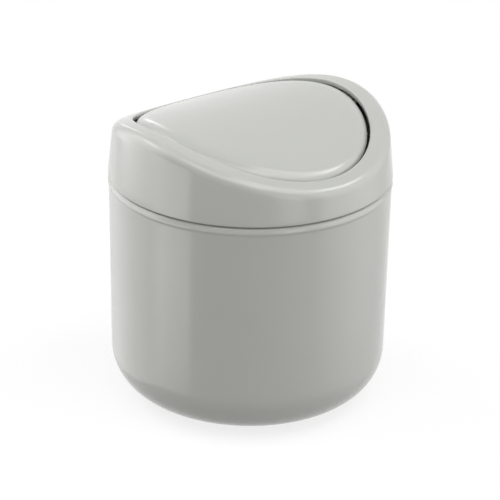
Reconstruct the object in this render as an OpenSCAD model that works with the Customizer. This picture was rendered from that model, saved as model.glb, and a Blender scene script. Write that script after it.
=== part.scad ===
// Countertop waste bin: a round tub, a saddle-shaped cover that lifts off and
// a vaulted flap that swings both ways on two steel pins under the ridge.
// Millimetres. +Z is up, the origin is on the counter under the tub's centre,
// and the hinge line runs along X.

/* [Tub] */
// Height of the tub from its underside to the ledge that carries the cover
tub_h = 123.1; // [100:0.1:170]
// Outer radius of the tub's wall just under its bead
tub_r = 74.7; // [70:0.1:90]
// How much narrower the tub's wall is at its underside than under the bead
tub_taper = 1.65; // [0.5:0.05:4]
// Radius of the tub's rounded lower edge
tub_edge_r = 25.4; // [12:0.1:32]
// Thickness of the tub's wall and base
tub_wall = 3.2; // [2.4:0.1:4]
// Height of the bead round the tub's mouth
bead_h = 4; // [2:0.1:7]
// How far the bead stands out from the tub's wall
bead_proud = 0.45; // [0.2:0.05:1.5]
// Height of the neck that the cover slips over
neck_h = 9; // [5:0.5:12]
// Thickness of the neck
neck_wall = 1.4; // [1.2:0.1:2.4]

/* [Feet] */
// Radius of each non-slip foot
foot_r = 6; // [4:0.5:9]
// Thickness of each foot
foot_t = 2; // [1.5:0.1:4]
// How far the feet stand out below the tub
foot_proud = 1; // [0.5:0.1:1.5]
// Distance of the feet from the tub's centre
foot_ring_r = 38; // [25:1:40]
// Clearance round a foot in its recess
foot_gap = 0.1; // [0.05:0.05:0.4]

/* [Cover] */
// How far the cover's lower edge stands out from the tub's wall
cover_proud = 0.5; // [0.2:0.1:2]
// Thickness of the cover
cover_wall = 2; // [1.6:0.1:3]
// Lean of the cover's side, in degrees
cover_lean = 5.43; // [2:0.01:8]
// Height of the cover's ridge above its lower edge
ridge_h = 35.8; // [32:0.1:50]
// Height of the cover's low sides above its lower edge, taken to its full radius
side_h = 14; // [13:0.1:22]
// Distance from the hinge line over which the ridge is rounded
ridge_round = 60.4; // [30:0.1:100]
// Radius of the cover's rounded shoulder
shoulder_r = 6.25; // [4:0.05:8]
// Radius of the cover's rounded lower edge
hem_r = 0.8; // [0.3:0.1:1.2]
// Clearance between the cover and the tub's neck
neck_gap = 0.3; // [0.15:0.05:0.8]
// Clearance under the cover where it sits on the ledge
seat_gap = 0.1; // [0.05:0.05:0.3]

/* [Opening] */
// Width of the rim at the hinge ends, in plan from the cover's lower edge
rim_end_w = 15.1; // [14.5:0.1:22]
// Width of the rim at the low sides, in plan from the cover's lower edge
rim_side_w = 10.2; // [9.5:0.1:20]
// Depth of the lip that turns down round the opening
lip_h = 3; // [2.5:0.1:3.1]
// Thickness of the lip
lip_wall = 1.8; // [1.2:0.1:2.2]
// Radius of the lip's rounded upper edge
lip_edge_r = 1; // [0.4:0.1:1.2]

/* [Flap] */
// Clearance between the flap and the opening
flap_gap = 1.4; // [1:0.1:3]
// Thickness of the flap
flap_wall = 2; // [1.6:0.1:2.6]
// Width of the flap's rounded edge at the hinge ends
flap_end_w = 10; // [6:0.5:14]
// Width of the flap's rounded edge at the low sides
flap_side_w = 5; // [4:0.1:9]
// Height of the flap's rounded edge
flap_edge_h = 4; // [3:0.1:5]
// Depth of the flap's skirt below its upper surface
flap_skirt = 7; // [6.6:0.1:8]
// How far the skirt leans in towards its lower edge
skirt_draft = 0.6; // [0.2:0.1:1]

/* [Hinge] */
// Depth of the hinge line below the ridge
hinge_depth = 5; // [4.9:0.1:6]
// Radius of the steel hinge pins
pin_r = 1.5; // [1.25:0.05:1.5]
// Radial clearance of the pins in their brackets
pin_play = 0.05; // [0.02:0.01:0.1]
// Radius of the lugs under the flap
lug_r = 3.3; // [3.1:0.1:3.5]
// Length of the lugs along the hinge line
lug_l = 9; // [6:0.5:14]
// How far the lugs stop short of the flap's outline
lug_short = 2.4; // [2.2:0.1:4]
// Thickness of the brackets along the hinge line
bracket_t = 4.2; // [3.8:0.1:4.4]
// Clearance between the lip and the brackets
bracket_gap = 0.4; // [0.2:0.1:0.6]
// How far the pins stop short of the brackets' outer faces
pin_short = 0.6; // [0.3:0.1:1.5]
// Half-width of the bracket's middle block
bracket_w = 5; // [4:0.1:5.5]
// Thickness of the bracket's ears
ear_t = 2.5; // [1.8:0.1:3]
// Distance of the bracket screws from the hinge line
screw_y = 8.5; // [8.5:0.1:11]
// Radius of the bosses that the bracket screws bite into
boss_r = 3; // [2.5:0.1:3.2]
// Height of the bosses below the ridge's upper surface
boss_h = 6.5; // [6:0.1:8]

/* [Screws] */
// Shank radius of the bracket screws
screw_r = 1.1; // [0.9:0.05:1.25]
// Head radius of the bracket screws
head_r = 2.2; // [1.8:0.1:2.4]
// Head height of the bracket screws
head_h = 1.5; // [1:0.1:2]
// Bite of the bracket screws in their bosses
screw_bite = 3.5; // [2.5:0.1:3.7]
// Shank radius of the weight's screws
weight_screw_r = 1.3; // [1:0.05:1.6]
// Head radius of the weight's screws
weight_head_r = 2.75; // [2.2:0.05:3.4]
// Head height of the weight's screws
weight_head_h = 1.8; // [1.2:0.1:2.4]
// Radial clearance of a screw in the piece that it clamps
screw_play = 0.2; // [0.1:0.05:0.4]

/* [Counterweight] */
// Length of the steel bar under the flap
weight_l = 70; // [50:1:80]
// Width of the bar
weight_w = 14; // [10:0.5:20]
// Thickness of the bar
weight_t = 4; // [2:0.5:6]
// Depth of the bar's upper face below the ridge
weight_depth = 9; // [8:0.1:12]
// Distance of the bar's screws from its middle
weight_screw_x = 26; // [15:1:28]
// Radius of the bosses that carry the bar
weight_boss_r = 3.5; // [3:0.1:5]

/* [Smoothness] */
// Sections round the cover's ring
cover_sections = 96; // [48:4:128]
// Sections round the flap
flap_sections = 80; // [48:4:120]

/* [Hidden] */
$fn = 96;
SIDES = [-1, 1];
QUARTERS = [0, 1];
CORNERS = [[-1, -1], [1, -1], [-1, 1], [1, 1]];
MERGE = 0.6;
CUT = 1;

tub_z = foot_proud;
ledge_z = tub_z + tub_h;
hem_z = ledge_z + seat_gap;
ridge_z = hem_z + ridge_h;
hinge_z = ridge_z - hinge_depth;
neck_z = ledge_z + neck_h;

tub_lean = atan(tub_taper / tub_h);
bead_r = tub_r + bead_proud;
bead_z = ledge_z - bead_h;
cover_r = tub_r + cover_proud;
neck_r = cover_r - cover_wall - neck_gap;
mouth_r = neck_r - neck_wall;
lean_k = tan(cover_lean);

open_x = cover_r - rim_end_w;
open_y = cover_r - rim_side_w;
flap_x = open_x - flap_gap;
flap_y = open_y - flap_gap;
ridge_k = (ridge_h - side_h) / (norm([ridge_round, cover_r]) - ridge_round);

pin_hole_r = pin_r + pin_play;
bracket_x = open_x + lip_wall + bracket_gap;
bracket_top = ridge_z - cover_wall - 0.05;
ear_top = ridge_z - boss_h;
bracket_low = ear_top - ear_t;
screw_x = bracket_x + bracket_t / 2;
ear_w = screw_y + boss_r + 0.5;
pin_in = flap_x - lug_l;
pin_out = bracket_x + bracket_t - pin_short;
weight_top = ridge_z - weight_depth;
weight_bite = weight_depth - flap_wall - 1.5;

// Height of the vault at a distance from the hinge line
function vault(y) = ridge_z - ridge_k * (norm([ridge_round, y]) - ridge_round);

// Radius of the cover's side at a height
function side_r(z) = cover_r - lean_k * (z - hem_z);

// Points of an arc about a centre, from one angle to another
function arc(c, r, from, to, steps) =
    [for (i = [0:steps]) let (t = from + (to - from) * i / steps)
        [c[0] + r * cos(t), c[1] + r * sin(t)]];

// Outer radius of the tub's wall at a height
function wall_r(z) = tub_r - (bead_z - z) * tan(tub_lean);

module tub_section() {
    edge_z = tub_z + tub_edge_r;
    edge_x = wall_r(edge_z) - tub_edge_r / cos(tub_lean);
    inner_r = tub_edge_r - tub_wall;
    bead_mid = (bead_z + ledge_z) / 2;
    bead_out = bead_r - bead_h / 2;
    step = abs(wall_r(bead_z) - tub_wall - mouth_r);
    polygon(concat(
        [[0, tub_z]],
        arc([edge_x, edge_z], tub_edge_r, -90, -tub_lean, 12),
        [[wall_r(bead_z), bead_z]],
        arc([bead_out, bead_mid], bead_h / 2, -60, 60, 8),
        [[bead_out + bead_h / 4, ledge_z], [neck_r, ledge_z]],
        [[neck_r - lean_k * (neck_h - 0.4), neck_z - 0.4]],
        [[neck_r - lean_k * neck_h - 0.3, neck_z]],
        [[mouth_r - lean_k * neck_h + 0.3, neck_z]],
        [[mouth_r - lean_k * neck_h, neck_z - 0.3], [mouth_r, ledge_z]],
        [[wall_r(bead_z) - tub_wall, bead_z - step]],
        arc([edge_x, edge_z], inner_r, -tub_lean, -90, 12),
        [[0, tub_z + tub_wall]]));
}

// Places something at each foot of a list of corners
module at_foot(corner) {
    a = foot_ring_r / sqrt(2);
    translate([corner[0] * a, corner[1] * a, 0]) children();
}

module tub() color("#BDBDB8") difference() {
    rotate_extrude() tub_section();
    for (corner = CORNERS) at_foot(corner)
        translate([0, 0, tub_z - CUT])
            cylinder(r = foot_r + foot_gap, h = foot_t - foot_proud + CUT);
}

module foot(corner) color("#3A3A3A") at_foot(corner)
    cylinder(r = foot_r, h = foot_t);

// Radius at which the vault would meet the side without a shoulder
function corner_r(a, r, n) =
    n == 0 ? r : corner_r(a, side_r(vault(r * sin(a))), n - 1);

// A point on the cover's rim, in a vertical plane through the cover's axis
function rim_point(a, r, down) = [r, vault(r * sin(a)) - down];

// Closed section of the cover in the vertical plane at an angle
function cover_section(a) =
    let (c = rim_point(a, corner_r(a, side_r(ridge_z), 8), 0),
        in = rim_point(a, c[0] - shoulder_r, 0) - c,
        A = in / norm(in),
        B = [sin(cover_lean), -cos(cover_lean)],
        half = acos(A * B) / 2,
        mid = c + (A + B) / norm(A + B) * shoulder_r / sin(half),
        top_a = atan2(-A[0], A[1]),
        rim_r = mid[0] + shoulder_r * cos(top_a),
        o = 1 / norm([cos(a) / open_x, sin(a) / open_y]),
        e = lip_edge_r,
        o_z = vault(o * sin(a)),
        lip_z = o_z - lip_h,
        back = o + lip_wall)
    concat(
        arc([cover_r - hem_r, hem_z + hem_r], hem_r, -90, 0, 3),
        arc(mid, shoulder_r, cover_lean, top_a, 7),
        [for (i = [1:3]) rim_point(a, rim_r + (o + e - rim_r) * i / 3, 0)],
        [[o + e * 0.3, o_z - e * 0.3 + 0.02], [o, o_z - e], [o, lip_z]],
        [[back, lip_z], rim_point(a, back, cover_wall)],
        [for (i = [1:2]) rim_point(a, back + (rim_r - back) * i / 3, cover_wall)],
        arc(mid, shoulder_r - cover_wall, top_a, cover_lean, 5),
        [[cover_r - cover_wall, hem_z]]);

// Closed ring through a list of sections, one for each angle
module ring(sections) {
    n = len(sections);
    m = len(sections[0]);
    points = [for (i = [0:n - 1]) let (t = 360 * i / n)
        for (p = sections[i]) [p[0] * cos(t), p[0] * sin(t), p[1]]];
    faces = [for (i = [0:n - 1]) for (j = [0:m - 1]) for (half = QUARTERS)
        let (a = i * m + j, b = i * m + (j + 1) % m,
            c = ((i + 1) % n) * m + (j + 1) % m, d = ((i + 1) % n) * m + j)
        half == 0 ? [a, b, c] : [a, c, d]];
    polyhedron(points = points, faces = faces, convexity = 8);
}

module cover() color("#BDBDB8") difference() {
    union() {
        ring([for (i = [0:cover_sections - 1])
            cover_section(360 * i / cover_sections)]);
        for (side = SIDES) for (end = SIDES)
            translate([side * screw_x, end * screw_y, ear_top])
                cylinder(r = boss_r, h = boss_h - cover_wall + MERGE);
    }
    for (side = SIDES) for (end = SIDES)
        translate([side * screw_x, end * screw_y, ear_top - CUT])
            cylinder(r = screw_r, h = screw_bite + 0.3 + CUT);
}

// A ring of the flap, its rounded edge given by how far along it the ring lies, in degrees
function edge_ring(t, wall) = [
    wall + (flap_end_w - wall) * (1 - cos(t)),
    wall + (flap_side_w - wall) * (1 - cos(t)),
    wall + (flap_edge_h - wall) * (1 - sin(t))];

// A ring of the flap's crown, at a share of the way from its rounded edge to its middle
function crown_ring(k, wall) = [
    flap_end_w + (flap_x - flap_end_w) * k,
    flap_side_w + (flap_y - flap_side_w) * k,
    wall];

// A point of a ring: the ring's distances in from the outline and its depth under the vault
function flap_point(a, ring) =
    let (y = (flap_y - ring[1]) * sin(a)) [(flap_x - ring[0]) * cos(a), y, vault(y) - ring[2]];

// Rings of the flap, from the outer crown round the skirt to the inner crown
skirt_in = skirt_draft + flap_wall * 0.9;
FLAP_RINGS = concat(
    [for (i = [6:-1:1]) crown_ring(i / 7, 0)],
    [for (t = [90:-15:0]) edge_ring(t, 0)],
    [[skirt_draft, skirt_draft, flap_skirt], [skirt_in, skirt_in, flap_skirt]],
    [for (t = [0:18:90]) edge_ring(t, flap_wall)],
    [for (i = [1:6]) crown_ring(i / 7, flap_wall)]);

// The flap as one closed shell: rings between an outer and an inner pole
module flap_shell() {
    n = flap_sections;
    m = len(FLAP_RINGS);
    points = concat(
        [[0, 0, ridge_z], [0, 0, ridge_z - flap_wall]],
        [for (ring = FLAP_RINGS) for (i = [0:n - 1])
            flap_point(360 * i / n, ring)]);
    faces = concat(
        [for (i = [0:n - 1]) [0, 2 + (i + 1) % n, 2 + i]],
        [for (i = [0:n - 1]) let (k = 2 + (m - 1) * n) [1, k + i, k + (i + 1) % n]],
        [for (j = [0:m - 2]) for (i = [0:n - 1]) for (half = QUARTERS)
            let (a = 2 + j * n + i, b = 2 + j * n + (i + 1) % n,
                c = b + n, d = a + n)
            half == 0 ? [a, b, c] : [a, c, d]]);
    polyhedron(points = points, faces = faces, convexity = 6);
}

module swing_flap() color("#BDBDB8") difference() {
    union() {
        flap_shell();
        for (side = SIDES) {
            translate([side * pin_in, 0, hinge_z]) rotate([0, side * 90, 0])
                cylinder(r = lug_r, h = lug_l - lug_short);
            translate([side * weight_screw_x, 0, weight_top])
                cylinder(r = weight_boss_r, h = weight_depth - flap_wall + MERGE);
        }
    }
    for (side = SIDES) {
        translate([side * (pin_in - CUT), 0, hinge_z]) rotate([0, side * 90, 0])
            cylinder(r = pin_r, h = lug_l + 2 * CUT);
        translate([side * weight_screw_x, 0, weight_top - CUT])
            cylinder(r = weight_screw_r, h = weight_bite + CUT);
    }
}

// A steel pin that is pressed in the flap's lug and turns in the bracket
module hinge_pin(side) color("#9EA1A4")
    translate([side * pin_in, 0, hinge_z]) rotate([0, side * 90, 0])
        cylinder(r = pin_r, h = pin_out - pin_in);

module hinge_bracket(side) color("#BDBDB8")
    translate([side * screw_x, 0, 0]) difference() {
        union() {
            translate([-bracket_t / 2, -bracket_w, bracket_low])
                cube([bracket_t, 2 * bracket_w, bracket_top - 0.15 - bracket_low]);
            translate([-bracket_t / 2, -ear_w, bracket_low])
                cube([bracket_t, 2 * ear_w, ear_t]);
        }
        translate([-bracket_t / 2 - CUT, 0, hinge_z]) rotate([0, 90, 0])
            cylinder(r = pin_hole_r, h = bracket_t + 2 * CUT);
        for (end = SIDES) translate([0, end * screw_y, bracket_low - CUT])
            cylinder(r = screw_r + screw_play, h = ear_t + 2 * CUT);
    }

// A pan-head screw that points up, with the underside of its head at z = 0
module screw(shank_r, shank_l, cap_r, cap_h) {
    cylinder(r = shank_r, h = shank_l);
    translate([0, 0, -cap_h]) cylinder(r = cap_r, h = cap_h);
}

module bracket_screws() color("#9EA1A4")
    for (side = SIDES) for (end = SIDES)
        translate([side * screw_x, end * screw_y, bracket_low])
            screw(screw_r, ear_t + screw_bite, head_r, head_h);

module counterweight() color("#8A8D90")
    translate([0, 0, weight_top - weight_t]) difference() {
        translate([-weight_l / 2, -weight_w / 2, 0])
            cube([weight_l, weight_w, weight_t]);
        for (side = SIDES) translate([side * weight_screw_x, 0, -CUT])
            cylinder(r = weight_screw_r + screw_play, h = weight_t + 2 * CUT);
    }

module counterweight_screws() color("#9EA1A4")
    for (side = SIDES)
        translate([side * weight_screw_x, 0, weight_top - weight_t])
            screw(weight_screw_r, weight_t + weight_bite - 0.3,
                weight_head_r, weight_head_h);

tub();
cover();
swing_flap();
hinge_pin(-1);  // hinge_pin_left
hinge_pin(1);  // hinge_pin_right
hinge_bracket(-1);  // hinge_bracket_left
hinge_bracket(1);  // hinge_bracket_right
bracket_screws();
counterweight();
counterweight_screws();
foot(CORNERS[0]);  // foot_front_left
foot(CORNERS[1]);  // foot_front_right
foot(CORNERS[2]);  // foot_back_left
foot(CORNERS[3]);  // foot_back_right
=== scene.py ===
# A round countertop waste bin with a swing flap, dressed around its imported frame.
# Everything is in metres, +Z up, with the hinge line along X and the counter at
# z = 0. Sizes come from the frame's own boxes, or are named here in millimetres.
import math

import bmesh
import bpy
from mathutils import Matrix, Vector


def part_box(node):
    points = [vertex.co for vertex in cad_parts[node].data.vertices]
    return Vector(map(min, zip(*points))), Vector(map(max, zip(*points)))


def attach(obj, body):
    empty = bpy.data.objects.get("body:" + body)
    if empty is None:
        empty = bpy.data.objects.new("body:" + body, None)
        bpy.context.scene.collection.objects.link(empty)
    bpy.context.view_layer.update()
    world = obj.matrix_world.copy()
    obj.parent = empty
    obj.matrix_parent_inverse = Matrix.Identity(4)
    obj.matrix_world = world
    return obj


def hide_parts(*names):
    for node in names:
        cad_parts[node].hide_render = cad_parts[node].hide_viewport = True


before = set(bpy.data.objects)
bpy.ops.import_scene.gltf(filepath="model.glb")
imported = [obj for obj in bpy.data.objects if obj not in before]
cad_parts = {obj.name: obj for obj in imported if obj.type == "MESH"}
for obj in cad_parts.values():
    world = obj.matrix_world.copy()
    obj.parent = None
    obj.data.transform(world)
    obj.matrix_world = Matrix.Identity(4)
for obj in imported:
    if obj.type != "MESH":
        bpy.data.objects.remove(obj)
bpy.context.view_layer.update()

MM = 0.001
LEFT_AND_RIGHT = (("left", -1), ("right", 1))
FOOT_NAMES = ("foot_front_left", "foot_front_right", "foot_back_left", "foot_back_right")

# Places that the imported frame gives
tub_low, tub_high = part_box("tub")
cover_low, cover_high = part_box("cover")
flap_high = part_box("swing_flap")[1]
pin_low, pin_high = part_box("hinge_pin_right")
bracket_low, bracket_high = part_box("hinge_bracket_right")
weight_low, weight_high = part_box("counterweight")
foot_low, foot_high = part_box("foot_back_right")

# The tub: bead, wall and neck, the gate mark under it, the hollow under the bead and the gap over it
BEAD_H = 4 * MM
BEAD_PROUD = 0.45 * MM
TUB_TAPER = 1.65 * MM
TUB_EDGE_R = 25.4 * MM
TUB_WALL = 3.2 * MM
NECK_WALL = 1.4 * MM
NECK_GAP = 0.3 * MM
SEAT_GAP = 0.1 * MM
GATE_R = 1.8 * MM
GATE_DEPTH = 0.4 * MM
HOLLOW_R = 3.4 * MM
BEAD_EDGE_R = 0.6 * MM
CROWN_FALL = 1.6 * MM
SHADOW_GAP_H = 0.6 * MM
SHADOW_GAP_DEPTH = 1.9 * MM
SHADOW_GAP_EDGE_R = 0.1 * MM
SMALL_EDGE_R = 0.3 * MM
NECK_ROOT_R = 0.7 * SMALL_EDGE_R
MOUTH_OUTER_R = 1.6 * SMALL_EDGE_R
MOUTH_INNER_R = 1.2 * SMALL_EDGE_R
FLOOR_MIDDLE_R = 1.5 * MM
FOOT_PLAY = 0.1 * MM

tub_z = tub_low.z
bead_r = tub_high.x
neck_z = tub_high.z
hem_z = cover_low.z
ledge_z = hem_z - SEAT_GAP
bead_z = ledge_z - BEAD_H
tub_r = bead_r - BEAD_PROUD
tub_lean = math.atan(TUB_TAPER / (ledge_z - tub_z))

# The cover: a leaning side, a rounded shoulder, a vaulted rim and a lip
COVER_WALL = 2 * MM
COVER_LEAN = math.radians(5.43)
SIDE_H = 14 * MM
RIDGE_ROUND = 60.4 * MM
SHOULDER_R = 6.25 * MM
HEM_R = 0.8 * MM
RIM_END_W = 15.1 * MM
RIM_SIDE_W = 10.2 * MM
LIP_H = 3 * MM
LIP_WALL = 1.8 * MM
LIP_EDGE_R = 1 * MM

cover_r = cover_high.x
ridge_z = cover_high.z
neck_r = cover_r - COVER_WALL - NECK_GAP
open_x = cover_r - RIM_END_W
open_y = cover_r - RIM_SIDE_W
ridge_fall = (ridge_z - hem_z - SIDE_H) / (math.hypot(RIDGE_ROUND, cover_r) - RIDGE_ROUND)

# The flap: a vaulted shell with a drafted skirt
FLAP_WALL = 2 * MM
FLAP_END_W = 10 * MM
FLAP_SIDE_W = 5 * MM
FLAP_EDGE_H = 4 * MM
FLAP_SKIRT = 7 * MM
SKIRT_DRAFT = 0.6 * MM
SKIRT_WALL = 0.9 * FLAP_WALL
# How far in from the skirt's outer and inner face its flat foot begins, and how far up its edges go
SKIRT_OUTER_STEP = 0.4 * MM
SKIRT_OUTER_RISE = 0.1 * MM
SKIRT_INNER_STEP = 0.3 * MM
SKIRT_INNER_RISE = 0.2 * MM
# The lugs, which stop short of the flap's outline, and the bosses that the weight is screwed to
LUG_R = 3.3 * MM
LUG_L = 9 * MM
LUG_SHORT = 2.4 * MM
WEIGHT_BOSS_R = 3.5 * MM

flap_x = flap_high.x
flap_y = flap_high.y
hinge_z = (pin_low.z + pin_high.z) / 2
pin_r = (pin_high.z - pin_low.z) / 2

# The hinge brackets, their screws and the weight's screws
PIN_PLAY = 0.05 * MM
BRACKET_W = 5 * MM
EAR_T = 2.5 * MM
SCREW_Y = 8.5 * MM
BOSS_R = 3 * MM
BOSS_H = 6.5 * MM
SCREW_R = 1.1 * MM
SCREW_BITE = 3.5 * MM
HEAD_R = 2.2 * MM
HEAD_H = 1.5 * MM
WEIGHT_SCREW_X = 26 * MM
WEIGHT_SCREW_R = 1.3 * MM
WEIGHT_HEAD_R = 2.75 * MM
WEIGHT_HEAD_H = 1.8 * MM
WEIGHT_BITE = 5.5 * MM
SCREW_PLAY = 0.2 * MM
HOLE_SPARE = 0.3 * MM
PIN_CHAMFER = 0.25 * MM
BRACKET_EDGE_R = 0.4 * MM
WEIGHT_EDGE_R = 0.5 * MM

screw_x = (bracket_low.x + bracket_high.x) / 2

# The screws: a plain neck, rings up to a margin short of the end, a tip, and the head's straight edge
SHANK_NECK_L = 0.3 * MM
THREAD_START = 0.4 * MM
THREAD_PITCH = 0.8 * MM
THREAD_MARGIN = 1.2 * MM
TIP_L = 0.5 * MM
HEAD_LAND = 0.05 * MM
# The cross recess, in shares of the head's radius and height, and how much it narrows inwards
RECESS_REACH = 0.62
RECESS_ARM = 0.16
RECESS_DEPTH = 0.6
RECESS_TAPER = 0.6

# The rubber feet: a dimple and a groove round it, both with flanks at 45 degrees
GROOVE_DEPTH = 0.3 * MM
DIMPLE_MIDDLE_R = 0.8 * MM
DIMPLE_R = 1.7 * MM
GROOVE_IN_R = 2.9 * MM
GROOVE_OUT_R = 4.2 * MM
FOOT_EDGE_R = 0.5 * MM
FOOT_CHAMFER = 0.15 * MM

# How far a boss, or the hole in it, runs past where it ends, and how far other tools cut past a face
MERGE = 0.6 * MM
OVERCUT = 1 * MM
# Two points that are nearer than this are one
SAME_POINT = 0.001 * MM

# How finely round shapes are divided
LATHE_SIDES = 256
COVER_SIDES = 288
FLAP_SIDES = 256
SMALL_SIDES = 48


def activate(piece):
    """Makes a piece the only one that the next operator acts on."""
    bpy.ops.object.select_all(action="DESELECT")
    piece.select_set(True)
    bpy.context.view_layer.objects.active = piece


def named(name):
    """Names the primitive that was just added."""
    piece = bpy.context.object
    piece.name = name
    piece.data.name = name
    return piece


def edit(piece, kind="FACE"):
    """Opens a piece for editing with nothing selected, and returns its mesh."""
    activate(piece)
    bpy.ops.object.mode_set(mode="EDIT")
    bpy.ops.mesh.select_mode(type=kind)
    bpy.ops.mesh.select_all(action="DESELECT")
    return bmesh.from_edit_mesh(piece.data)


def pick(piece, mesh, wanted):
    """Selects the faces whose middle and normal the wanted function accepts."""
    for face in mesh.faces:
        face.select_set(wanted(face.calc_center_median(), face.normal))
    mesh.select_flush_mode()
    bmesh.update_edit_mesh(piece.data)


def close(piece, sharp=35):
    """Merges doubles, points the faces outwards, smooths them and settles the piece at the origin."""
    activate(piece)
    bpy.ops.object.mode_set(mode="EDIT")
    bpy.ops.mesh.select_all(action="SELECT")
    bpy.ops.mesh.remove_doubles(threshold=SAME_POINT)
    bpy.ops.mesh.normals_make_consistent(inside=False)
    bpy.ops.object.mode_set(mode="OBJECT")
    bpy.ops.object.transform_apply(location=True, rotation=True, scale=True)
    bpy.ops.object.shade_smooth_by_angle(angle=math.radians(sharp))
    return piece


def arc(centre, radius, start, end, steps):
    """Points of an arc in a section, between two angles in radians."""
    angles = [start + (end - start) * i / steps for i in range(steps + 1)]
    return [(centre[0] + radius * math.cos(t), centre[1] + radius * math.sin(t)) for t in angles]


def between(start, end, steps):
    """Points inside a straight run of a section, without its ends."""
    start = Vector(start)
    return [tuple(start.lerp(Vector(end), i / steps)) for i in range(1, steps)]


def steps_between(start, end, count):
    """Evenly spaced numbers inside a range, without its ends."""
    return [start + (end - start) * i / count for i in range(1, count)]


def fillet(corner, toward_first, toward_last, radius, steps):
    """Points of the arc that rounds a corner, from one of its two directions to the other."""
    corner = Vector(corner)
    first, last = Vector(toward_first).normalized(), Vector(toward_last).normalized()
    half = first.angle(last) / 2
    reach = radius / math.tan(half)
    middle = corner + (first + last).normalized() * (radius / math.sin(half))
    spoke_in, spoke_out = corner + first * reach - middle, corner + last * reach - middle
    spokes = [spoke_in.slerp(spoke_out, i / steps).normalized() * radius for i in range(steps + 1)]
    return [tuple(middle + spoke) for spoke in spokes]


def turned(name, rings, sides=LATHE_SIDES):
    """A closed shell: a disc is extruded ring by ring, each given by its reach in X and Y and its height."""
    reach_x, reach_y, height = rings[0]
    bpy.ops.object.select_all(action="DESELECT")
    bpy.ops.mesh.primitive_circle_add(vertices=sides, radius=reach_x, fill_type="NGON",
                                      location=(0, 0, height))
    piece = named(name)
    bpy.ops.object.transform_apply(location=True, rotation=True, scale=True)
    edit(piece)
    bpy.ops.mesh.select_all(action="SELECT")
    bpy.ops.transform.resize(value=(1, reach_y / reach_x, 1), center_override=(0, 0, height))
    for next_x, next_y, next_height in rings[1:]:
        rise = (0, 0, next_height - height)
        bpy.ops.mesh.extrude_region_move(TRANSFORM_OT_translate={"value": rise})
        growth = (next_x / reach_x, next_y / reach_y, 1)
        bpy.ops.transform.resize(value=growth, center_override=(0, 0, next_height))
        reach_x, reach_y, height = next_x, next_y, next_height
    bpy.ops.object.mode_set(mode="OBJECT")
    return piece


def lathe(name, profile, sides=LATHE_SIDES):
    """A round shell from a section of radius and height, which starts and ends near its axis."""
    return turned(name, [(radius, radius, height) for radius, height in profile], sides)


def cylinder(name, start, axis, radius, length, sides=SMALL_SIDES):
    """A plain cylinder from a start point along a direction, used to build on and to cut with."""
    axis = Vector(axis)
    middle = Vector(start) + axis * length / 2
    bpy.ops.object.select_all(action="DESELECT")
    bpy.ops.mesh.primitive_cylinder_add(vertices=sides, radius=radius, depth=length, location=middle,
                                        rotation=axis.to_track_quat("Z", "Y").to_euler())
    piece = named(name)
    bpy.ops.object.transform_apply(location=True, rotation=True, scale=True)
    return piece


def block(name, middle, size):
    """A plain block, used to build on and to cut with."""
    bpy.ops.object.select_all(action="DESELECT")
    bpy.ops.mesh.primitive_cube_add(size=1, location=middle, scale=size)
    piece = named(name)
    bpy.ops.object.transform_apply(location=True, rotation=True, scale=True)
    return piece


def combine(piece, tools, operation):
    """Adds closed tools to a piece, or cuts them out of it, as one exact solid."""
    bpy.ops.object.select_all(action="DESELECT")
    for tool in tools:
        tool.select_set(True)
    bpy.context.view_layer.objects.active = tools[0]
    if len(tools) > 1:
        bpy.ops.object.join()
    tool = bpy.context.object
    activate(piece)
    step = piece.modifiers.new(operation.lower(), "BOOLEAN")
    step.operation = operation
    step.solver = "EXACT"
    step.object = tool
    bpy.ops.object.modifier_apply(modifier=step.name)
    bpy.data.objects.remove(tool)
    return piece


def soften(piece, width, steps=2, sharper_than=40):
    """Rounds a piece's sharp edges, as moulding, tumbling or grinding leaves them."""
    activate(piece)
    step = piece.modifiers.new("soft edges", "BEVEL")
    step.width = width
    step.segments = steps
    step.limit_method = "ANGLE"
    step.angle_limit = math.radians(sharper_than)
    step.use_clamp_overlap = True
    bpy.ops.object.modifier_apply(modifier=step.name)
    return piece


def copied(piece, name, shift):
    """A copy with its own mesh, moved in its mesh."""
    twin = piece.copy()
    twin.data = piece.data.copy()
    twin.name = name
    twin.data.name = name
    bpy.context.scene.collection.objects.link(twin)
    twin.data.transform(Matrix.Translation(shift))
    return twin


def fitted(piece, body, slot, finish, *nodes):
    """Hands a finished piece to the frame: its body, its finish and the nodes that it stands for."""
    piece.data.materials.clear()
    piece.data.materials.append(finish)
    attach(piece, body)
    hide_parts(*nodes)
    return piece


# Curves that the pieces share

def vault(y):
    """Height of the vaulted top at a distance from the hinge line."""
    return ridge_z - ridge_fall * (math.hypot(RIDGE_ROUND, y) - RIDGE_ROUND)


def vault_slope(y, a):
    """Slope of the vaulted top outwards, at a distance from the hinge line in the plane at an angle."""
    return -ridge_fall * y * math.sin(a) / math.hypot(RIDGE_ROUND, y)


def side_r(z):
    """Radius of the cover's leaning side at a height."""
    return cover_r - math.tan(COVER_LEAN) * (z - hem_z)


def side_height(r):
    """Height at which the cover's side has a radius."""
    return hem_z + (cover_r - r) / math.tan(COVER_LEAN)


def wall_r(z):
    """Radius of the tub's tapered wall at a height."""
    return tub_r - (bead_z - z) * math.tan(tub_lean)


# The tub

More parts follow.
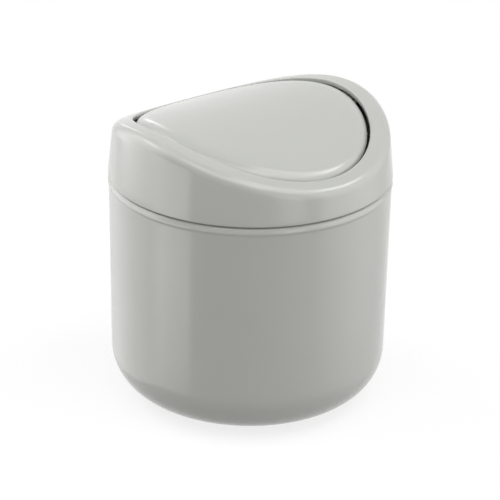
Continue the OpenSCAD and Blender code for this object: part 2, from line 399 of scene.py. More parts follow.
def tub_profile():
    """Section of the tub, from the middle of its underside round its mouth to the middle of its floor."""
    edge_z = tub_z + TUB_EDGE_R
    edge_x = wall_r(edge_z) - TUB_EDGE_R / math.cos(tub_lean)
    # Under the bead the wall sweeps out to it in a hollow, and over it a shadow gap lies before the seat
    sweep = math.acos(1 - BEAD_PROUD / (HOLLOW_R + BEAD_EDGE_R))
    wall_top = (wall_r(bead_z), bead_z - HOLLOW_R * math.sin(sweep))
    hollow_middle = (wall_top[0] + HOLLOW_R, wall_top[1])
    bead_foot = (bead_r - BEAD_EDGE_R, bead_z + BEAD_EDGE_R * math.sin(sweep))
    gap_z = ledge_z - SHADOW_GAP_H
    crown_h = gap_z - bead_foot[1]
    crown_r = (crown_h ** 2 + CROWN_FALL ** 2) / (2 * CROWN_FALL)
    crown_middle = (bead_r - crown_r, bead_foot[1])
    gap_r = bead_r - SHADOW_GAP_DEPTH
    mouth_r = neck_r - NECK_WALL
    neck_in = math.tan(COVER_LEAN) * (neck_z - ledge_z)
    floor_z = tub_z + TUB_WALL
    lean = (-math.sin(COVER_LEAN), math.cos(COVER_LEAN))
    back = (-lean[0], -lean[1])
    neck_foot = (neck_r, ledge_z)
    neck_outer = (neck_r - neck_in, neck_z)
    neck_inner = (mouth_r - neck_in, neck_z)
    underside = [(GATE_R * 0.3, tub_z + GATE_DEPTH), (GATE_R * 0.85, tub_z + GATE_DEPTH), (GATE_R, tub_z)]
    underside += between((GATE_R, tub_z), (edge_x, tub_z), 6)
    lower_edge = arc((edge_x, edge_z), TUB_EDGE_R, math.radians(-90), -tub_lean, 32)
    wall = between(lower_edge[-1], wall_top, 8)
    hollow = arc(hollow_middle, HOLLOW_R, math.pi, math.pi - sweep, 8)
    bead = arc(bead_foot, BEAD_EDGE_R, -sweep, 0, 6)[:-1]
    bead += arc(crown_middle, crown_r, 0, math.asin(crown_h / crown_r), 16)
    gap = [(gap_r + SMALL_EDGE_R, gap_z), (gap_r, gap_z + SHADOW_GAP_EDGE_R)]
    gap += fillet((gap_r, ledge_z), (0, -1), (-1, 0), SHADOW_GAP_EDGE_R, 3)
    neck = fillet(neck_foot, (1, 0), lean, NECK_ROOT_R, 4)
    neck += between(neck[-1], neck_outer, 4)
    neck += fillet(neck_outer, back, (-1, 0), MOUTH_OUTER_R, 5)
    neck += fillet(neck_inner, (1, 0), back, MOUTH_INNER_R, 5)
    inside = [(mouth_r, ledge_z)] + between((mouth_r, ledge_z), (wall_r(edge_z) - TUB_WALL, edge_z), 8)
    inner_edge = arc((edge_x, edge_z), TUB_EDGE_R - TUB_WALL, -tub_lean, math.radians(-90), 28)
    floor_middle = (FLOOR_MIDDLE_R, floor_z)
    floor = between((edge_x, floor_z), floor_middle, 6) + [floor_middle]
    outside = underside + lower_edge + wall + hollow + bead + gap
    return outside + neck + inside + inner_edge + floor


def build_tub(finish):
    """The tub, with a recess under it for each foot."""
    tub = lathe("tub_shell", tub_profile())
    recesses = []
    for name in FOOT_NAMES:
        low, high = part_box(name)
        below = ((low.x + high.x) / 2, (low.y + high.y) / 2, tub_z - OVERCUT)
        radius = (high.x - low.x) / 2 + FOOT_PLAY
        recesses.append(cylinder("recess", below, (0, 0, 1), radius, high.z - tub_z + OVERCUT))
    combine(tub, recesses, "DIFFERENCE")
    close(tub)
    return fitted(tub, "tub", "moulded_plastic", finish, "tub")


# The cover

def shoulder(a):
    """The arc between the cover's side and its rim in the plane at an angle, tangent to both."""
    down = (math.sin(COVER_LEAN), -math.cos(COVER_LEAN))
    lean = math.tan(COVER_LEAN)
    # The rim's slope depends on where the arc meets it, which a few rounds settle
    foot_r = side_r(ridge_z) - SHOULDER_R
    for _ in range(12):
        y = foot_r * math.sin(a)
        slope = vault_slope(y, a)
        # The side and the rim's tangent line meet at the corner
        corner_r = (cover_r - lean * (vault(y) - slope * foot_r - hem_z)) / (1 + lean * slope)
        corner = (corner_r, side_height(corner_r))
        points = fillet(corner, down, (-1, -slope), SHOULDER_R, 18)
        foot_r = points[-1][0]
    return points, corner, slope


def inward(corner, slope):
    """The shoulder's corner on the cover's inner face, a wall's thickness in from both outer faces."""
    lean = math.tan(COVER_LEAN)
    side = cover_r - COVER_WALL / math.cos(COVER_LEAN)
    top = corner[1] - COVER_WALL * math.hypot(1, slope) - slope * corner[0]
    r = (side - lean * (top - hem_z)) / (1 + lean * slope)
    return (r, top + slope * r)


def cover_section(a):
    """Closed section of the cover in the plane at an angle, from its hem over the top and back inside."""
    outer, corner, slope = shoulder(a)
    down = (math.sin(COVER_LEAN), -math.cos(COVER_LEAN))
    up = (-down[0], -down[1])
    opening_r = 1 / math.hypot(math.cos(a) / open_x, math.sin(a) / open_y)

    def rim(r, drop=0):
        return (r, vault(r * math.sin(a)) - drop)

    y = opening_r * math.sin(a)
    lip_z = vault(y) - LIP_H
    back_r = opening_r + LIP_WALL
    lip_top = fillet(rim(opening_r), (1, vault_slope(y, a)), (0, -1), LIP_EDGE_R, 8)
    lip_foot = fillet((opening_r, lip_z), (0, 1), (1, 0), SMALL_EDGE_R, 3)
    lip_foot += fillet((back_r, lip_z), (-1, 0), (0, 1), SMALL_EDGE_R, 3)
    inner = fillet(inward(corner, slope), (-1, -slope), down, SHOULDER_R - COVER_WALL, 12)
    inner_foot = (cover_r - COVER_WALL, hem_z)
    hem = fillet((cover_r, hem_z), (-1, 0), up, HEM_R, 8)
    points = hem + between(hem[-1], outer[0], 8) + outer
    points += [rim(r) for r in steps_between(outer[-1][0], lip_top[0][0], 9)]
    points += lip_top + lip_foot
    points += [rim(r, COVER_WALL) for r in steps_between(back_r - SAME_POINT, inner[0][0], 8)]
    points += inner + between(inner[-1], inner_foot, 6)
    points += fillet(inner_foot, up, (1, 0), SMALL_EDGE_R, 3)
    return points


def ring_of_sections(name, section, sides):
    """A closed ring: a circle is extruded loop by loop, and each point is laid at its own section's place."""
    sections = [section(2 * math.pi * i / sides) for i in range(sides)]
    bpy.ops.object.select_all(action="DESELECT")
    bpy.ops.mesh.primitive_circle_add(vertices=sides, radius=cover_r)
    piece = named(name)
    mesh = edit(piece, "VERT")
    bpy.ops.mesh.select_all(action="SELECT")
    count = len(sections[0])
    for step in range(count + 1):
        if step:
            bpy.ops.mesh.extrude_region_move()
            mesh = bmesh.from_edit_mesh(piece.data)
        for point in [v for v in mesh.verts if v.select]:
            a = math.atan2(point.co.y, point.co.x)
            r, z = sections[round(a / (2 * math.pi) * sides) % sides][step % count]
            point.co = (r * math.cos(a), r * math.sin(a), z)
        bmesh.update_edit_mesh(piece.data)
    bpy.ops.object.mode_set(mode="OBJECT")
    return close(piece)


def build_cover(finish):
    """The cover: the vaulted ring, and under its rim the bosses that the brackets are screwed to."""
    cover = ring_of_sections("cover_shell", cover_section, COVER_SIDES)
    ear_top = ridge_z - BOSS_H
    bosses, holes = [], []
    for _, side in LEFT_AND_RIGHT:
        for end in (-1, 1):
            foot = (side * screw_x, end * SCREW_Y, ear_top)
            bosses.append(cylinder("boss", foot, (0, 0, 1), BOSS_R, BOSS_H - COVER_WALL + MERGE))
            below = (foot[0], foot[1], ear_top - MERGE)
            holes.append(cylinder("hole", below, (0, 0, 1), SCREW_R, SCREW_BITE + HOLE_SPARE + MERGE))
    combine(cover, bosses, "UNION")
    combine(cover, holes, "DIFFERENCE")
    close(cover)
    return fitted(cover, "cover", "moulded_plastic", finish, "cover")


# The flap

def flap_rings():
    """Rings of the flap, flat: the outer crown, the rounded edge, the skirt and back under it."""
    quarter = [math.radians(90) * i / 20 for i in range(21)]
    crown = [i / 28 for i in range(1, 28)]

    def inset(q, drop):
        return (flap_x - q, flap_y - q, ridge_z - drop)

    def crowned(share, drop):
        return (share * (flap_x - FLAP_END_W), share * (flap_y - FLAP_SIDE_W), ridge_z - drop)

    def rounded(t, wall):
        # The edge is rounded over a wider band at the hinge ends than at the low sides
        along = 1 - math.cos(t)
        end_q = wall + (FLAP_END_W - wall) * along
        side_q = wall + (FLAP_SIDE_W - wall) * along
        drop = wall + (FLAP_EDGE_H - wall) * (1 - math.sin(t))
        return (flap_x - end_q, flap_y - side_q, ridge_z - drop)

    outer = [crowned(share, 0) for share in crown] + [rounded(t, 0) for t in reversed(quarter)]
    skirt_in = SKIRT_DRAFT + SKIRT_WALL
    skirt = [inset(SKIRT_DRAFT * k, FLAP_EDGE_H + (FLAP_SKIRT - FLAP_EDGE_H) * k) for k in (0.3, 0.6, 0.85)]
    skirt += [inset(SKIRT_DRAFT + SKIRT_OUTER_RISE, FLAP_SKIRT - SKIRT_OUTER_RISE),
              inset(SKIRT_DRAFT + SKIRT_OUTER_STEP, FLAP_SKIRT),
              inset(skirt_in - SKIRT_INNER_STEP, FLAP_SKIRT),
              inset(skirt_in, FLAP_SKIRT - SKIRT_INNER_RISE)]
    inner = [rounded(t, FLAP_WALL) for t in quarter]
    return outer + skirt + inner + [crowned(share, FLAP_WALL) for share in reversed(crown)]


def lay_on_vault(piece):
    """Drops every point of a flat piece by as much as the vault has fallen at its place."""
    for point in piece.data.vertices:
        point.co.z += vault(point.co.y) - ridge_z


def build_flap(finish):
    """The flap: a vaulted shell with a lug at each end for its pins and two bosses for the weight."""
    flap = turned("swing_flap_shell", flap_rings(), FLAP_SIDES)
    lay_on_vault(flap)
    close(flap)
    lugs, bores = [], []
    for _, side in LEFT_AND_RIGHT:
        lug_in = (side * pin_low.x, 0, hinge_z)
        boss_foot = (side * WEIGHT_SCREW_X, 0, weight_high.z)
        lugs.append(cylinder("lug", lug_in, (side, 0, 0), LUG_R, LUG_L - LUG_SHORT))
        lugs.append(cylinder("boss", boss_foot, (0, 0, 1), WEIGHT_BOSS_R,
                             ridge_z - FLAP_WALL + MERGE - weight_high.z))
        bore_in = (side * (pin_low.x - MERGE), 0, hinge_z)
        hole_foot = (boss_foot[0], 0, weight_high.z - MERGE)
        bores.append(cylinder("bore", bore_in, (side, 0, 0), pin_r, LUG_L + MERGE))
        bores.append(cylinder("hole", hole_foot, (0, 0, 1), WEIGHT_SCREW_R, WEIGHT_BITE + MERGE))
    combine(flap, lugs, "UNION")
    combine(flap, bores, "DIFFERENCE")
    close(flap)
    return fitted(flap, "flap", "moulded_plastic", finish, "swing_flap")


# The hinge hardware

def build_pins(finish):
    """A steel pin with turned chamfers at each end of the hinge line."""
    for word, side in LEFT_AND_RIGHT:
        pin = cylinder("hinge_pin_" + word + "_turned", (side * pin_low.x, 0, hinge_z), (side, 0, 0),
                       pin_r, pin_high.x - pin_low.x)
        soften(pin, PIN_CHAMFER)
        close(pin)
        fitted(pin, "flap", "pin_steel", finish, "hinge_pin_" + word)


def build_bracket(side):
    """A moulded bearing block with two ears, a bore for the pin and a hole for each screw."""
    thickness = bracket_high.x - bracket_low.x
    middle = (side * screw_x, 0, bracket_low.z + EAR_T / 2)
    bracket = block("bracket", middle, (thickness, 2 * bracket_high.y, EAR_T))
    for y in (-BRACKET_W, BRACKET_W):
        edit(bracket)
        bpy.ops.mesh.select_all(action="SELECT")
        bpy.ops.mesh.bisect(plane_co=(0, y, 0), plane_no=(0, 1, 0))
        bpy.ops.object.mode_set(mode="OBJECT")
    mesh = edit(bracket)
    pick(bracket, mesh, lambda place, normal: normal.z > 0.9 and abs(place.y) < BRACKET_W)
    rise = bracket_high.z - bracket_low.z - EAR_T
    bpy.ops.mesh.extrude_region_move(TRANSFORM_OT_translate={"value": (0, 0, rise)})
    bpy.ops.object.mode_set(mode="OBJECT")
    close(bracket)
    soften(bracket, BRACKET_EDGE_R, 3)
    bore_start = (side * screw_x - thickness, 0, hinge_z)
    bore = cylinder("bore", bore_start, (1, 0, 0), pin_r + PIN_PLAY, 2 * thickness)
    holes = [cylinder("hole", (side * screw_x, end * SCREW_Y, bracket_low.z - OVERCUT), (0, 0, 1),
                      SCREW_R + SCREW_PLAY, EAR_T + 2 * OVERCUT) for end in (-1, 1)]
    combine(bracket, [bore] + holes, "DIFFERENCE")
    return close(bracket)


def build_brackets(finish):
    """Both brackets, under the rim at the ends of the hinge line."""
    for word, side in LEFT_AND_RIGHT:
        bracket = build_bracket(side)
        bracket.name = "hinge_bracket_" + word + "_moulded"
        fitted(bracket, "cover", "bracket_plastic", finish, "hinge_bracket_" + word)


def pan_head_screw(name, shank_r, shank_l, head_r, head_h):
    """A self-tapping screw that points up from the origin, with a domed head under it and a cross recess."""
    # The head is a dome, in shares of its radius and height
    head = [(head_r * 0.35, -head_h), (head_r * 0.6, -head_h * 0.97), (head_r * 0.8, -head_h * 0.86),
            (head_r * 0.94, -head_h * 0.62), (head_r, -head_h * 0.3), (head_r, -HEAD_LAND),
            (head_r * 0.97, 0)]
    shank = [(shank_r * 0.95, 0), (shank_r * 0.95, SHANK_NECK_L)]
    # The thread is drawn as rings, each a root, a flank and a narrow crest
    for turn in range(int((shank_l - THREAD_MARGIN) / THREAD_PITCH)):
        foot = THREAD_START + turn * THREAD_PITCH
        shank += [(shank_r * 0.76, foot), (shank_r * 0.76, foot + THREAD_PITCH * 0.35)]
        shank += [(shank_r, foot + THREAD_PITCH * 0.6), (shank_r * 0.97, foot + THREAD_PITCH * 0.7)]
    tip = [(shank_r * 0.7, shank_l - TIP_L), (shank_r * 0.3, shank_l)]
    screw = lathe(name, head + shank + tip, 32)
    slots = []
    recess_end = (0, 0, -head_h * (1 - RECESS_DEPTH))
    for reach_x, reach_y in ((RECESS_REACH, RECESS_ARM), (RECESS_ARM, RECESS_REACH)):
        size = (2 * head_r * reach_x, 2 * head_r * reach_y, 2 * head_h * RECESS_DEPTH)
        slot = block("slot", (0, 0, -head_h), size)
        mesh = edit(slot)
        pick(slot, mesh, lambda place, normal: normal.z > 0.9)
        bpy.ops.transform.resize(value=(RECESS_TAPER, RECESS_TAPER, 1), center_override=recess_end)
        bpy.ops.object.mode_set(mode="OBJECT")
        slots.append(slot)
    for slot in slots:
        combine(screw, [slot], "DIFFERENCE")
    return close(screw)


def build_screws(finish):
    """Four screws hold the brackets and two hold the weight."""
    model = pan_head_screw("screw", SCREW_R, EAR_T + SCREW_BITE, HEAD_R, HEAD_H)
    for word, side in LEFT_AND_RIGHT:
        for place, end in (("front", -1), ("back", 1)):
            shift = (side * screw_x, end * SCREW_Y, bracket_low.z)
            screw = copied(model, "bracket_screw_" + place + "_" + word, shift)
            fitted(screw, "cover", "screw_steel", finish, "bracket_screws")
    bpy.data.objects.remove(model)
    length = weight_high.z - weight_low.z + WEIGHT_BITE - HOLE_SPARE
    model = pan_head_screw("screw", WEIGHT_SCREW_R, length, WEIGHT_HEAD_R, WEIGHT_HEAD_H)
    for word, side in LEFT_AND_RIGHT:
        screw = copied(model, "counterweight_screw_" + word, (side * WEIGHT_SCREW_X, 0, weight_low.z))
        fitted(screw, "flap", "screw_steel", finish, "counterweight_screws")
    bpy.data.objects.remove(model)


def build_weight(finish):
    """The steel bar under the flap, sawn to length, its edges broken and two holes drilled."""
    size = weight_high - weight_low
    bar = block("counterweight_bar", (weight_high + weight_low) / 2, size)
    soften(bar, WEIGHT_EDGE_R)
    holes = [cylinder("hole", (side * WEIGHT_SCREW_X, 0, weight_low.z - OVERCUT), (0, 0, 1),
                      WEIGHT_SCREW_R + SCREW_PLAY, size.z + 2 * OVERCUT) for _, side in LEFT_AND_RIGHT]
    combine(bar, holes, "DIFFERENCE")
    close(bar)
    fitted(bar, "flap", "weight_steel", finish, "counterweight")


def build_feet(finish):
    """Four rubber feet with a dimple and a grip groove, pressed in the recesses under the tub."""
    radius = (foot_high.x - foot_low.x) / 2
    height = foot_high.z - foot_low.z
    dimple = [(DIMPLE_MIDDLE_R, GROOVE_DEPTH), (DIMPLE_R - GROOVE_DEPTH, GROOVE_DEPTH), (DIMPLE_R, 0)]
    groove = [(GROOVE_IN_R, 0), (GROOVE_IN_R + GROOVE_DEPTH, GROOVE_DEPTH),
              (GROOVE_OUT_R - GROOVE_DEPTH, GROOVE_DEPTH), (GROOVE_OUT_R, 0)]
    profile = dimple + groove + fillet((radius, 0), (-1, 0), (0, 1), FOOT_EDGE_R, 6)
    profile += [(radius, height * 0.7), (radius, height - FOOT_CHAMFER), (radius - FOOT_CHAMFER, height)]
    profile += [(radius * 0.4, height)]
    model = lathe("foot", profile, 64)
    close(model)
    for name in FOOT_NAMES:
        low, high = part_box(name)
        foot = copied(model, name + "_pad", ((low.x + high.x) / 2, (low.y + high.y) / 2, low.z))
        fitted(foot, "tub", "foot_rubber", finish, name)
    bpy.data.objects.remove(model)


# Materials

# Range that holds nearly all of a noise texture's values
NOISE_SPAN = {"From Min": 0.3, "From Max": 0.7}


def colour(hex_code):
    """Linear colour of an sRGB hex code."""
    parts = [int(hex_code[i:i + 2], 16) / 255 for i in (1, 3, 5)]
    return tuple(p / 12.92 if p <= 0.04045 else ((p + 0.055) / 1.055) ** 2.4 for p in parts) + (1,)


def add_node(tree, kind, inputs=None, **settings):
    """Adds a node, sets its properties, and gives its inputs values or links from other nodes' outputs."""
    node = tree.nodes.new(kind)
    for name, value in settings.items():
        setattr(node, name, value)
    for socket, value in (inputs or {}).items():
        if isinstance(value, bpy.types.NodeSocket):
            tree.links.new(value, node.inputs[socket])
        else:
            node.inputs[socket].default_value = value
    return node


def new_material(name):
    """An empty node material, its tree, and the place on the piece that patterns read."""
    material = bpy.data.materials.new(name)
    material.use_nodes = True
    tree = material.node_tree
    tree.nodes.clear()
    place = add_node(tree, "ShaderNodeTexCoord").outputs["Object"]
    return material, tree, place


def polished_abs():
    """ABS moulded in a polished tool: an even warm grey with clear reflections that waver a little."""
    material, tree, place = new_material("polished moulded ABS")
    # Flow of the melt shows as a tint that drifts over about 40 mm
    flow = add_node(tree, "ShaderNodeTexNoise", {"Vector": place, "Scale": 1 / (40 * MM)})
    tint = add_node(tree, "ShaderNodeMix", {
        "Factor": flow.outputs["Fac"], 6: colour("#AEAFAA"), 7: colour("#B2B3AE")}, data_type="RGBA")
    # Rubbing in use dulls the gloss in soft patches of about 25 mm
    rubbed = add_node(tree, "ShaderNodeTexNoise", {"Vector": place, "Scale": 1 / (25 * MM), "Detail": 3})
    dull = add_node(tree, "ShaderNodeMapRange", {
        "Value": rubbed.outputs["Fac"], **NOISE_SPAN, "To Min": 0.13, "To Max": 0.19})
    # Shrinkage over the wall leaves a ripple of about 9 mm, some microns deep
    sunk = add_node(tree, "ShaderNodeTexNoise", {"Vector": place, "Scale": 1 / (9 * MM), "Detail": 1})
    ripple = add_node(tree, "ShaderNodeBump", {
        "Height": sunk.outputs["Fac"], "Strength": 0.15, "Distance": 0.02 * MM})
    shader = add_node(tree, "ShaderNodeBsdfPrincipled", {
        "Base Color": tint.outputs[2], "Roughness": dull.outputs["Result"],
        "Normal": ripple.outputs["Normal"], "IOR": 1.52})
    add_node(tree, "ShaderNodeOutputMaterial", {"Surface": shader.outputs["BSDF"]})
    return material


def spark_eroded_abs():
    """ABS from a spark-eroded tool: the same grey with a fine matt grain, as hidden pieces have."""
    material, tree, place = new_material("grained moulded ABS")
    flow = add_node(tree, "ShaderNodeTexNoise", {"Vector": place, "Scale": 1 / (6 * MM)})
    tint = add_node(tree, "ShaderNodeMix", {
        "Factor": flow.outputs["Fac"], 6: colour("#B2B3AD"), 7: colour("#B9BAB4")}, data_type="RGBA")
    # The tool's grain is about 0.1 mm, drawn at 0.25 mm so that it shows
    grain = add_node(tree, "ShaderNodeTexNoise", {"Vector": place, "Scale": 1 / (0.25 * MM)})
    dull = add_node(tree, "ShaderNodeMapRange", {
        "Value": grain.outputs["Fac"], **NOISE_SPAN, "To Min": 0.5, "To Max": 0.62})
    relief = add_node(tree, "ShaderNodeBump", {
        "Height": grain.outputs["Fac"], "Strength": 0.5, "Distance": 0.03 * MM})
    shader = add_node(tree, "ShaderNodeBsdfPrincipled", {
        "Base Color": tint.outputs[2], "Roughness": dull.outputs["Result"],
        "Normal": relief.outputs["Normal"], "IOR": 1.52})
    add_node(tree, "ShaderNodeOutputMaterial", {"Surface": shader.outputs["BSDF"]})
    return material


def ground_steel():
    """Centreless-ground steel: bright, with fine rings round the pin."""
    material, tree, place = new_material("ground steel")
    # Grinding marks run round the pin, about 0.15 mm apart along it
    along = add_node(tree, "ShaderNodeMapping", {"Vector": place, "Scale": (1, 0.02, 0.02)})
    marks = add_node(tree, "ShaderNodeTexNoise", {
        "Vector": along.outputs["Vector"], "Scale": 1 / (0.15 * MM), "Detail": 3, "Roughness": 0.6})
    tint = add_node(tree, "ShaderNodeMix", {
        "Factor": marks.outputs["Fac"], 6: colour("#A9ABAD"), 7: colour("#C2C3C4")}, data_type="RGBA")
    dull = add_node(tree, "ShaderNodeMapRange", {
        "Value": marks.outputs["Fac"], **NOISE_SPAN, "To Min": 0.2, "To Max": 0.32})
    relief = add_node(tree, "ShaderNodeBump", {
        "Height": marks.outputs["Fac"], "Strength": 0.3, "Distance": 0.01 * MM})
    shader = add_node(tree, "ShaderNodeBsdfPrincipled", {
        "Base Color": tint.outputs[2], "Metallic": 1.0, "Roughness": dull.outputs["Result"],
        "Normal": relief.outputs["Normal"]})
    add_node(tree, "ShaderNodeOutputMaterial", {"Surface": shader.outputs["BSDF"]})
    return material


def zinc_plate():
    """Zinc-plated steel: cool and bright, with a faint blue and straw bloom from the passivation."""
    material, tree, place = new_material("zinc plated steel")
    # The bloom drifts over about 1.6 mm, and the plating's crystals are drawn at 0.2 mm so that they show
    bloom = add_node(tree, "ShaderNodeTexNoise", {"Vector": place, "Scale": 1 / (1.6 * MM), "Detail": 3})
    crystals = add_node(tree, "ShaderNodeTexNoise", {"Vector": place, "Scale": 1 / (0.2 * MM)})
    tint = add_node(tree, "ShaderNodeMix", {
        "Factor": bloom.outputs["Fac"], 6: colour("#A9AFB7"), 7: colour("#BFBBAE")}, data_type="RGBA")
    dull = add_node(tree, "ShaderNodeMapRange", {
        "Value": crystals.outputs["Fac"], **NOISE_SPAN, "To Min": 0.26, "To Max": 0.4})
    relief = add_node(tree, "ShaderNodeBump", {
        "Height": crystals.outputs["Fac"], "Strength": 0.2, "Distance": 0.01 * MM})
    shader = add_node(tree, "ShaderNodeBsdfPrincipled", {
        "Base Color": tint.outputs[2], "Metallic": 1.0, "Roughness": dull.outputs["Result"],
        "Normal": relief.outputs["Normal"]})
    add_node(tree, "ShaderNodeOutputMaterial", {"Surface": shader.outputs["BSDF"]})
    return material


def mill_steel():
    """Cold-drawn flat bar: grey steel with drawing lines along it and duller patches."""
    material, tree, place = new_material("cold drawn steel")
    # Drawing lines run along the bar, about 0.3 mm apart across it, and the dull patches are about 8 mm wide
    along = add_node(tree, "ShaderNodeMapping", {"Vector": place, "Scale": (0.02, 1, 1)})
    lines = add_node(tree, "ShaderNodeTexNoise", {
        "Vector": along.outputs["Vector"], "Scale": 1 / (0.3 * MM), "Detail": 4, "Roughness": 0.6})
    patches = add_node(tree, "ShaderNodeTexNoise", {
        "Vector": place, "Scale": 1 / (8 * MM), "Detail": 4, "Roughness": 0.6})
    tint = add_node(tree, "ShaderNodeMix", {
        "Factor": patches.outputs["Fac"], 6: colour("#7C7F82"), 7: colour("#97999B")}, data_type="RGBA")
    dull = add_node(tree, "ShaderNodeMapRange", {
        "Value": patches.outputs["Fac"], **NOISE_SPAN, "To Min": 0.34, "To Max": 0.5})
    relief = add_node(tree, "ShaderNodeBump", {
        "Height": lines.outputs["Fac"], "Strength": 0.35, "Distance": 0.02 * MM})
    shader = add_node(tree, "ShaderNodeBsdfPrincipled", {
        "Base Color": tint.outputs[2], "Metallic": 1.0, "Roughness": dull.outputs["Result"],
        "Normal": relief.outputs["Normal"]})
    add_node(tree, "ShaderNodeOutputMaterial", {"Surface": shader.outputs["BSDF"]})
    return material


def foot_rubber():
    """Moulded thermoplastic rubber: dark, dull and faintly dusty."""
    material, tree, place = new_material("thermoplastic rubber")
    # Dust lies in patches of about 2.5 mm, over a fine moulded grain of 0.15 mm
    dust = add_node(tree, "ShaderNodeTexNoise", {
        "Vector": place, "Scale": 1 / (2.5 * MM), "Detail": 4, "Roughness": 0.6})
    grain = add_node(tree, "ShaderNodeTexNoise", {"Vector": place, "Scale": 1 / (0.15 * MM)})
    tint = add_node(tree, "ShaderNodeMix", {
        "Factor": dust.outputs["Fac"], 6: colour("#2E2E2F"), 7: colour("#434342")}, data_type="RGBA")
    dull = add_node(tree, "ShaderNodeMapRange", {
        "Value": dust.outputs["Fac"], **NOISE_SPAN, "To Min": 0.62, "To Max": 0.8})
    relief = add_node(tree, "ShaderNodeBump", {
        "Height": grain.outputs["Fac"], "Strength": 0.4, "Distance": 0.02 * MM})
    shader = add_node(tree, "ShaderNodeBsdfPrincipled", {
        "Base Color": tint.outputs[2], "Roughness": dull.outputs["Result"],
        "Normal": relief.outputs["Normal"], "IOR": 1.5, "Specular IOR Level": 0.35})
    add_node(tree, "ShaderNodeOutputMaterial", {"Surface": shader.outputs["BSDF"]})
    return material


# Stage, light and camera

CAMERA_AZIMUTH = math.radians(-39.5)
CAMERA_ELEVATION = math.radians(22.56)
CAMERA_ROLL = math.radians(0.985)
CAMERA_DISTANCE = 1516.8 * MM
FOCAL_PX = 2874.4
IMAGE_PX = 500
SEAM_CENTRE_PX = (250.4, 171.2)
SENSOR = 36.0
# Height that the lamps' elevations are counted from, and how far off the lamps stand
LAMP_AIM = 100 * MM
LAMP_REACH = 1500 * MM
# Width and height of the high lamps, and how far they climb for each metre outwards
HIGH_BOX_SIZE = (1.2, 0.8)
HIGH_BOX_RISE = 1.9
# Brightness of the room round the lamps, as its light falls on the bin
ROOM_LIGHT = 0.25
# The counter: near the bin a share of its white glows and the rest is paint, which ends further out
FLOOR_R = 4
FLOOR_GLOW = 0.8
PAINT_NEAR = 0.12
PAINT_FAR = 0.4


def build_camera():
    """The photograph's view: the middle of the seam lies where the photograph has it, with no lens shift."""
    seam_centre = Vector((0, 0, ledge_z))
    a, e = CAMERA_AZIMUTH, CAMERA_ELEVATION
    facing = Vector((math.sin(a) * math.cos(e), -math.cos(a) * math.cos(e), math.sin(e)))
    place = seam_centre + facing * CAMERA_DISTANCE
    across = Vector((math.cos(a), math.sin(a), 0))
    # Where the middle of the seam lies from the middle of the picture, before the camera is rolled
    offset = Vector((SEAM_CENTRE_PX[0] - IMAGE_PX / 2, IMAGE_PX / 2 - SEAM_CENTRE_PX[1]))
    offset.rotate(Matrix.Rotation(CAMERA_ROLL, 2))
    tilt = -math.atan(offset.y / FOCAL_PX)
    pan = math.atan(offset.x / FOCAL_PX)
    back = Matrix.Rotation(tilt, 3, across) @ facing
    back = Matrix.Rotation(pan, 3, "Z") @ back
    across = Vector((0, 0, 1)).cross(back).normalized()
    up = back.cross(across)
    right = across * math.cos(CAMERA_ROLL) + up * math.sin(CAMERA_ROLL)
    top = up * math.cos(CAMERA_ROLL) - across * math.sin(CAMERA_ROLL)
    data = bpy.data.cameras.new("camera")
    data.sensor_width = SENSOR
    data.lens = FOCAL_PX * SENSOR / IMAGE_PX
    data.clip_end = 20
    camera = bpy.data.objects.new("camera", data)
    bpy.context.scene.collection.objects.link(camera)
    camera.matrix_world = Matrix.Translation(place) @ Matrix((right, top, back)).transposed().to_4x4()
    bpy.context.scene.camera = camera


def toward(bearing, rise):
    """A direction: its bearing in degrees to the right of the camera's, and its rise per metre outwards."""
    a = CAMERA_AZIMUTH + math.radians(bearing)
    return Vector((math.sin(a), -math.cos(a), rise)).normalized()


def panel(name, place, back, width, height, brightness, fades=(0, 0, 0, 0)):
    """A rectangular lamp as bright as white paper at 1. Its light fades in over a share of its left, right,
    lower and upper edge."""
    data = bpy.data.lights.new(name, "AREA")
    data.shape = "RECTANGLE"
    data.size = width
    data.size_y = height
    data.energy = brightness * math.pi * width * height
    data.use_nodes = True
    tree = data.node_tree
    tree.nodes.clear()
    face = add_node(tree, "ShaderNodeTexCoord").outputs["UV"]
    across, upward, _ = add_node(tree, "ShaderNodeSeparateXYZ", {"Vector": face}).outputs
    glow = 1.0
    for place_on_face, edge, fade in zip((across, across, upward, upward), (0, 1, 0, 1), fades):
        if fade:
            inner = fade if edge == 0 else 1 - fade
            ramp = add_node(tree, "ShaderNodeMapRange", {
                "Value": place_on_face, "From Min": edge, "From Max": inner}, interpolation_type="SMOOTHSTEP")
            glow = add_node(tree, "ShaderNodeMath", {0: glow, 1: ramp.outputs["Result"]},
                            operation="MULTIPLY").outputs[0]
    emission = add_node(tree, "ShaderNodeEmission", {"Strength": glow})
    add_node(tree, "ShaderNodeOutputLight", {"Surface": emission.outputs["Emission"]})
    lamp = bpy.data.objects.new(name, data)
    bpy.context.scene.collection.objects.link(lamp)
    lamp.location = place
    lamp.rotation_euler = back.to_track_quat("Z", "Y").to_euler()
    lamp.visible_camera = False
    return lamp


def softbox(name, bearings, elevations, brightness, fades=(0, 0, 0, 0)):
    """A lamp that stands upright beside the bin, between two bearings and two elevations in degrees."""
    outward = toward(sum(bearings) / 2, 0)
    bottom, top = (LAMP_AIM + LAMP_REACH * math.tan(math.radians(angle)) for angle in elevations)
    width = 2 * LAMP_REACH * math.tan(math.radians(bearings[1] - bearings[0]) / 2)
    middle = outward * LAMP_REACH + Vector((0, 0, (bottom + top) / 2))
    return panel(name, middle, outward, width, top - bottom, brightness, fades)


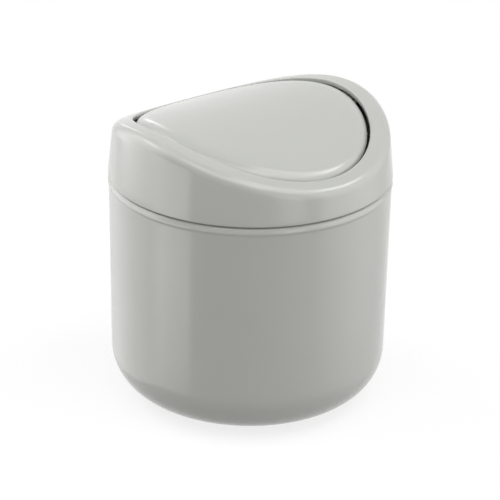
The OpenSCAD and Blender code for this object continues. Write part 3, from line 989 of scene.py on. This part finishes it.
def build_light():
    """Soft studio light: boxes at both sides, behind and above, with a dim one in front."""
    softbox("left_low_box", (-162, -66), (-38, -16), 0.85, (0.5, 0.2, 0.15, 0.15))
    softbox("left_box", (-152, -66), (-19, 54), 2.15, (0.42, 0.28, 0.06, 0.2))
    softbox("left_edge_box", (-88, -47.5), (-36, 2), 1.95, (0.52, 0, 0.4, 0.2))
    softbox("back_left_strip", (-128, -88), (37, 55), 1.9, (0.2, 0.2, 0.2, 0.2))
    softbox("back_strip", (-168, -164.5), (0, 38), 2.2, (0.2, 0.2, 0.1, 0.3))
    softbox("right_box", (50, 134), (-36, 48), 1.42, (0.22, 0.5, 0.3, 0.2))
    softbox("back_right_strip", (94, 114), (40, 55), 4.0)
    softbox("front_box", (-46, 52), (-20, 14), 0.3, (0.1, 0.1, 0.4, 0.3))
    softbox("front_right_box", (14, 43), (-13, 40), 1.3, (0.6, 0, 0, 0.5))
    for name, bearing, brightness in (("front", 0, 1.83), ("right", 80, 2.1), ("left", -80, 0.95)):
        outward = toward(bearing, HIGH_BOX_RISE)
        panel("high_" + name + "_box", outward * LAMP_REACH, outward, *HIGH_BOX_SIZE, brightness)
    world = bpy.data.worlds.new("studio")
    bpy.context.scene.world = world
    world.use_nodes = True
    tree = world.node_tree
    tree.nodes.clear()
    path = add_node(tree, "ShaderNodeLightPath").outputs
    seen = add_node(tree, "ShaderNodeMath", {0: path["Is Camera Ray"], 1: path["Is Transmission Ray"]},
                    operation="MAXIMUM")
    # Metal, glass and gloss show the white background too
    shown = add_node(tree, "ShaderNodeMath", {0: seen.outputs[0], 1: path["Is Glossy Ray"]},
                     operation="MAXIMUM")
    strength = add_node(tree, "ShaderNodeMath", {0: shown.outputs[0], 1: ROOM_LIGHT}, operation="MAXIMUM")
    white = add_node(tree, "ShaderNodeBackground", {"Color": (1, 1, 1, 1), "Strength": strength.outputs[0]})
    add_node(tree, "ShaderNodeOutputWorld", {"Surface": white.outputs[0]})


def build_floor():
    """A plain white counter that keeps the bin's shadow and runs into the white background."""
    bpy.ops.object.select_all(action="DESELECT")
    bpy.ops.mesh.primitive_circle_add(vertices=96, radius=FLOOR_R, fill_type="NGON")
    floor = named("floor")
    material = bpy.data.materials.new("white counter")
    material.use_nodes = True
    tree = material.node_tree
    tree.nodes.clear()
    camera_ray = add_node(tree, "ShaderNodeLightPath").outputs["Is Camera Ray"]
    place = add_node(tree, "ShaderNodeTexCoord").outputs["Object"]
    far = add_node(tree, "ShaderNodeVectorMath", {0: place}, operation="LENGTH").outputs["Value"]
    # Around the bin a fifth of the white is paint that keeps its shadow, and further out it is all white
    white = add_node(tree, "ShaderNodeMapRange", {
        "Value": far, "From Min": PAINT_NEAR, "From Max": PAINT_FAR, "To Min": FLOOR_GLOW, "To Max": 1.0})
    seen = add_node(tree, "ShaderNodeMath", {0: camera_ray, 1: white.outputs["Result"]},
                    operation="MULTIPLY").outputs[0]
    tint = add_node(tree, "ShaderNodeMix", {
        "Factor": camera_ray, 6: colour("#B0B0AE"), 7: (1, 1, 1, 1)}, data_type="RGBA").outputs[2]
    paint = add_node(tree, "ShaderNodeBsdfDiffuse", {"Color": tint}).outputs[0]
    glow = add_node(tree, "ShaderNodeEmission", {"Color": (1, 1, 1, 1), "Strength": 1.0}).outputs[0]
    mixed = add_node(tree, "ShaderNodeMixShader", {0: seen, 1: paint, 2: glow}).outputs[0]
    add_node(tree, "ShaderNodeOutputMaterial", {"Surface": mixed})
    floor.data.materials.append(material)
    # Glossy rays pass through the counter, so the bin's gloss shows the white world beyond it
    floor.visible_glossy = False


gloss = polished_abs()
build_tub(gloss)
build_cover(gloss)
build_flap(gloss)
build_pins(ground_steel())
build_brackets(spark_eroded_abs())
build_screws(zinc_plate())
build_weight(mill_steel())
build_feet(foot_rubber())
build_floor()
build_light()
build_camera()
bpy.context.scene.view_settings.view_transform = "Standard"
